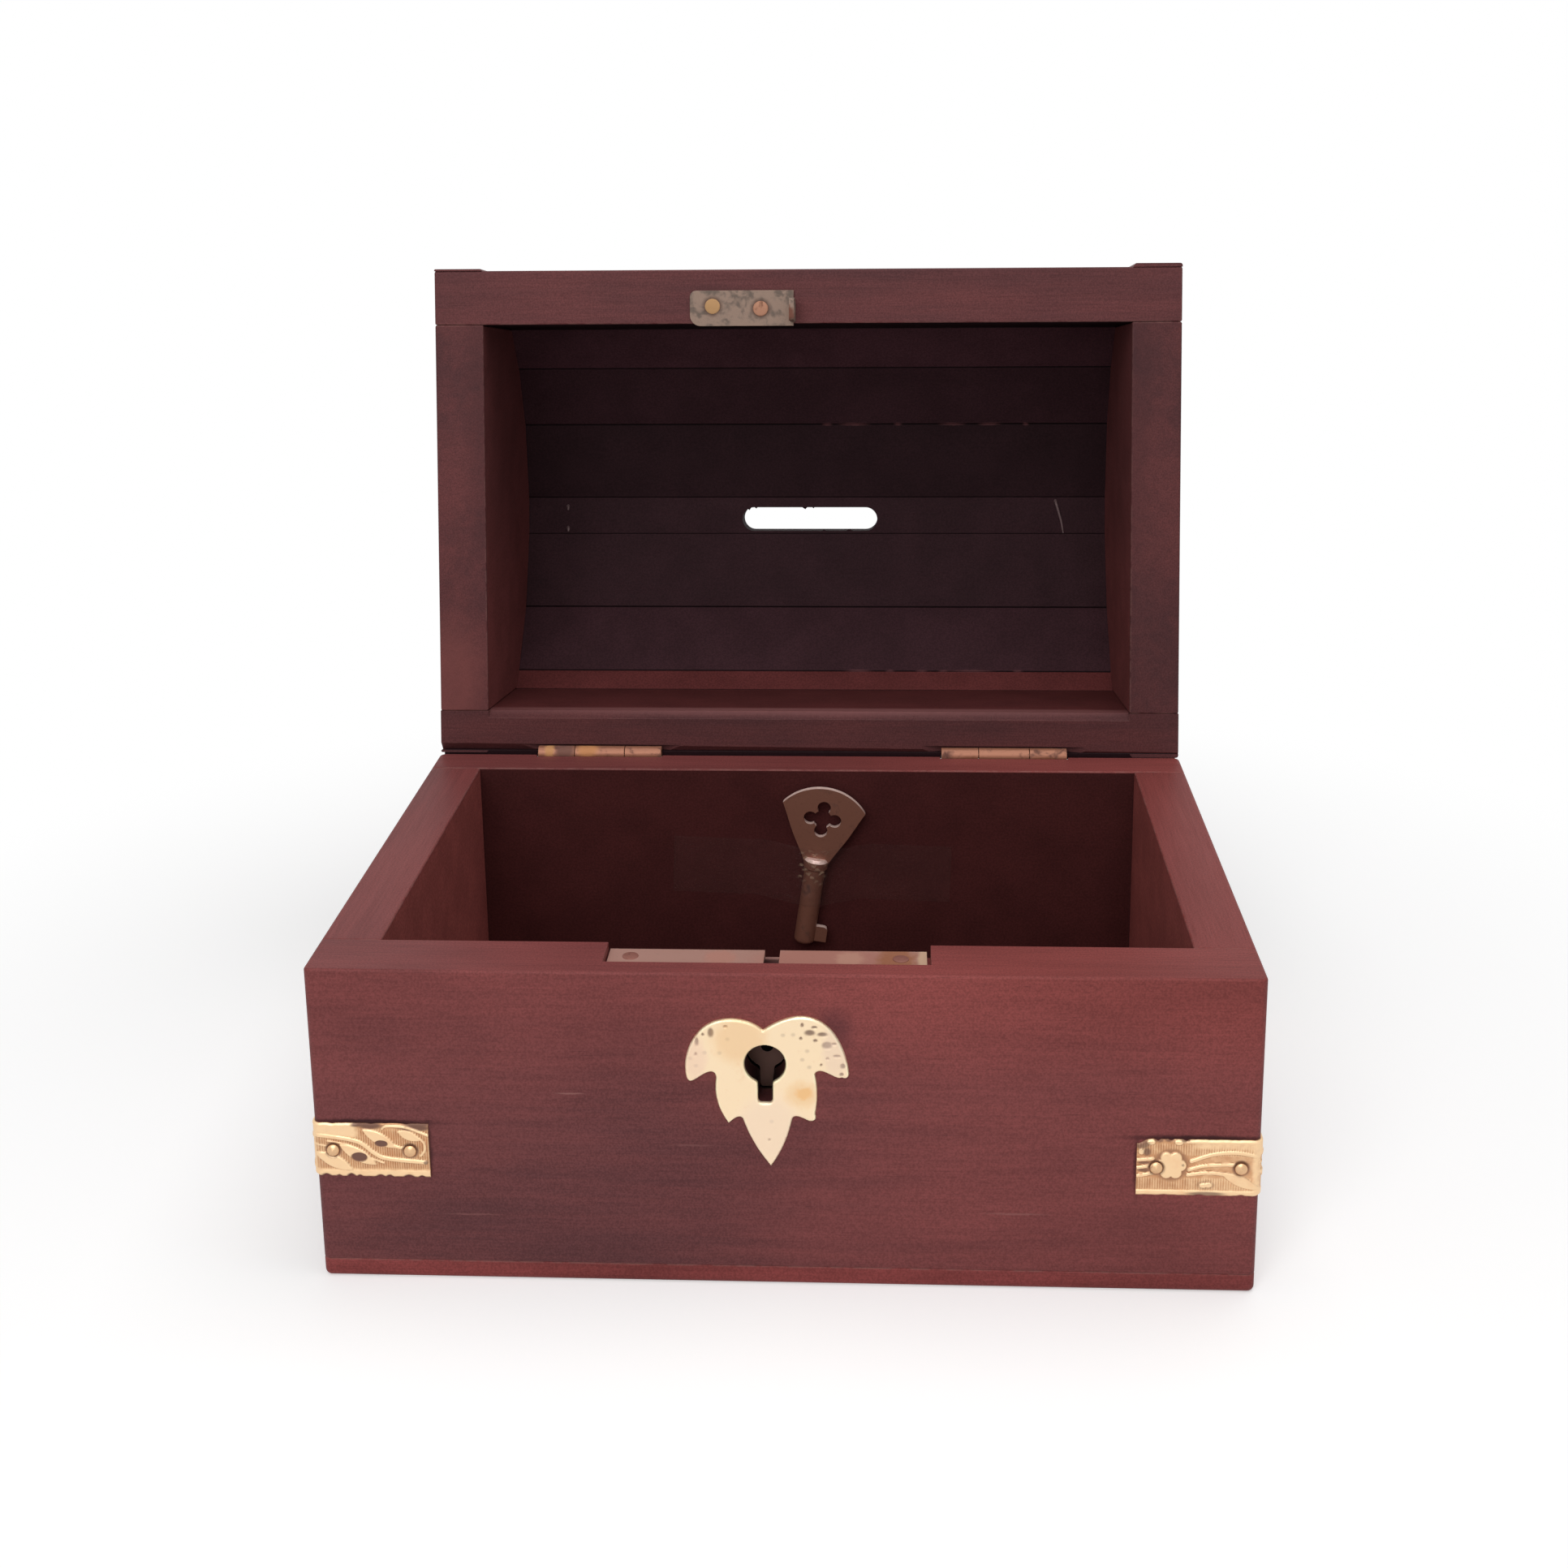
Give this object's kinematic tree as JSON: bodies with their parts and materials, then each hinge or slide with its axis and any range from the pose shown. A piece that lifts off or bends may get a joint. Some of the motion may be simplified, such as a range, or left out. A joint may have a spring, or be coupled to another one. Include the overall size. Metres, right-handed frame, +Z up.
{
  "type": "treasure chest money box",
  "caption": "Small domed wooden chest with brass corner strips and a leaf escutcheon, a coin slot in its hinged coopered lid, a hooked mortise lock and a loose key; holds coins and keepsakes.",
  "frame": {"origin": "middle of the underside of the bottom board", "axes": "+X to the right along the front, +Y to the back, +Z up; the front with the keyhole faces -Y"},
  "size_m": [0.154, 0.1655, 0.1539],
  "materials": {
    "mahogany": "satin stained wood, worn at the edges",
    "foot_wood": "satin stained wood, redder",
    "band_wood": "satin stained wood",
    "embossed_brass": "thin embossed sheet, lightly tarnished",
    "plain_brass": "smooth sheet, lightly pitted",
    "brass_nails": "domed heads, polished",
    "hinge_brass": "brass with brown stains",
    "lock_sheet": "dull tarnished plate",
    "lock_nail_metal": "tarnished, rusty at the rims",
    "lock_steel": "plain steel",
    "key_metal": "stamped and turned brass, dull",
    "clear_tape": "clear adhesive tape, slightly yellowed"
  },
  "bodies": {
    "base": {"base_bottom_board": "foot_wood", "base_front_wall": "mahogany", "base_back_wall": "mahogany", "base_left_wall": "mahogany", "base_right_wall": "mahogany", "escutcheon": "plain_brass", "lock_plate": "lock_sheet", "lock_nails": "lock_nail_metal", "lock_case": "lock_sheet", "lock_key_post": "lock_steel", "lock_guide_pins": "lock_steel", "lock_spring": "lock_steel", "hinge_left_base_leaf": "hinge_brass", "hinge_right_base_leaf": "hinge_brass", "hinge_pins": "hinge_brass", "hinge_base_nails": "brass_nails", "base_strip_nails": "brass_nails", "base_front_left_strip": "embossed_brass", "base_front_right_strip": "embossed_brass", "base_back_left_strip": "embossed_brass", "base_back_right_strip": "embossed_brass"},
    "lid": {"lid_front_board": "mahogany", "lid_back_board": "mahogany", "lid_left_end": "mahogany", "lid_right_end": "mahogany", "lid_stave_1": "mahogany", "lid_stave_2": "mahogany", "lid_stave_3": "mahogany", "lid_stave_4": "mahogany", "lid_stave_5": "mahogany", "lid_stave_6": "mahogany", "lid_stave_7": "mahogany", "lid_left_band": "band_wood", "lid_right_band": "band_wood", "lid_left_strip": "embossed_brass", "lid_right_strip": "embossed_brass", "lid_strip_nails": "brass_nails", "strike_plate": "lock_sheet", "strike_nails": "lock_nail_metal", "hinge_left_lid_leaf": "hinge_brass", "hinge_right_lid_leaf": "hinge_brass", "hinge_lid_nails": "brass_nails"},
    "bolt": {"lock_bolt": "lock_steel"},
    "key": {"key": "key_metal", "key_tape": "clear_tape"}
  },
  "joints": [
    {"name": "lid_hinge", "type": "hinge", "parent": "base", "child": "lid", "pos_m": [0, 0.0499, 0.05513], "axis": [1, 0, 0], "range_deg": [0, 99.6]},
    {"name": "bolt_slide", "type": "slide", "parent": "base", "child": "bolt", "axis": [-1, 0, 0], "range_m": [0, 0.0042]},
    {"name": "key_lift", "type": "slide", "parent": "base", "child": "key", "axis": [0, 0, 1], "range_m": [0, 0.032]}
  ]
}
